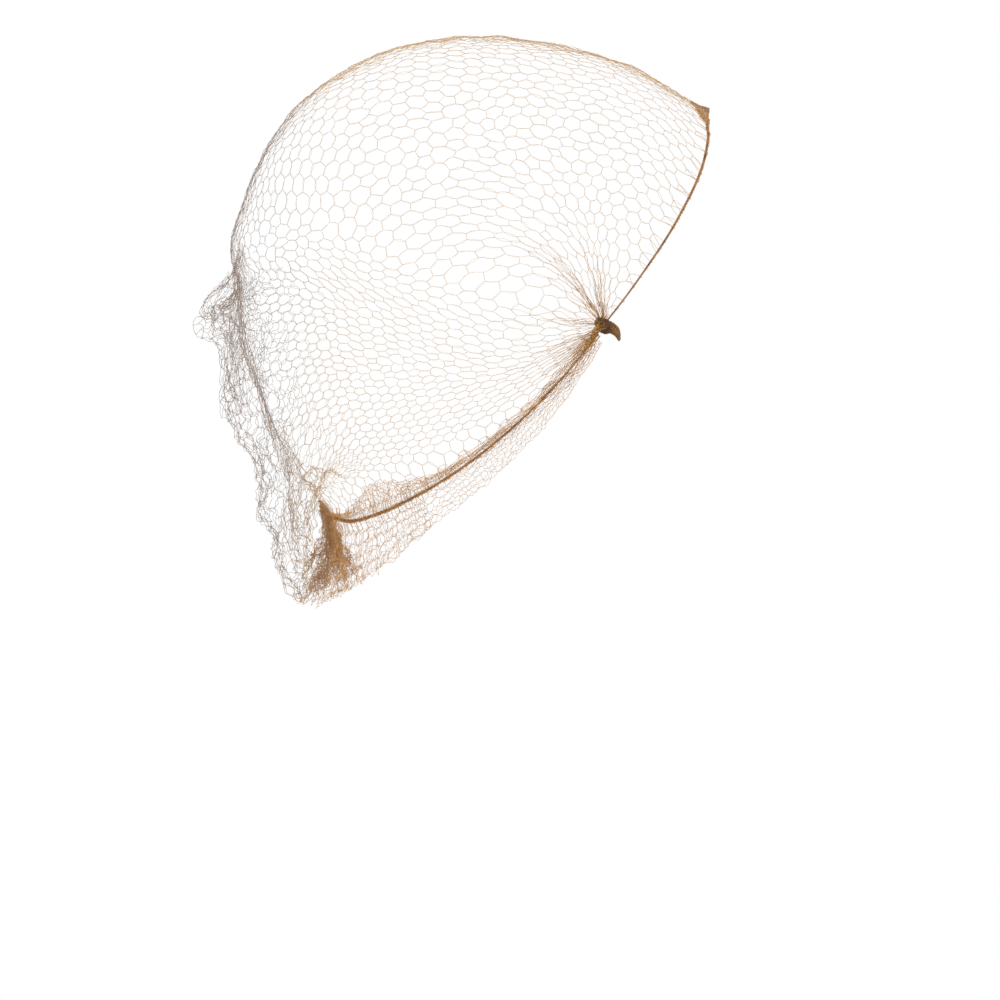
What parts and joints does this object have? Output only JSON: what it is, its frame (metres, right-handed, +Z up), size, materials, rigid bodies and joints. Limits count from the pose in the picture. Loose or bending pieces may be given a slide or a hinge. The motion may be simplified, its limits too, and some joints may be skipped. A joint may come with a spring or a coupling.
{
  "type": "worn hairnet with elastic rim",
  "caption": "Knotless net cap gathered at temple knots, with an elastic rim, a slack pouch behind the head and a ruffled nape hem.",
  "frame": {"origin": "middle of the opening that the head goes into, halfway between the front elastic at the forehead and the nape elastic", "axes": "+X to the wearer's face, +Y to the wearer's left, +Z up"},
  "size_m": [0.1941, 0.1552, 0.2147],
  "materials": {
    "netting": "fine light brown nylon thread, slightly glossy",
    "elastic": "brown thread-covered elastic cord, matt",
    "thread": "dark brown bound nylon thread, matt"
  },
  "bodies": {
    "root": {"net": "netting", "nape_frill": "netting", "front_elastic": "elastic", "nape_elastic": "elastic", "right_knot": "thread", "left_knot": "thread", "right_tail": "thread", "left_tail": "thread"}
  },
  "joints": []
}
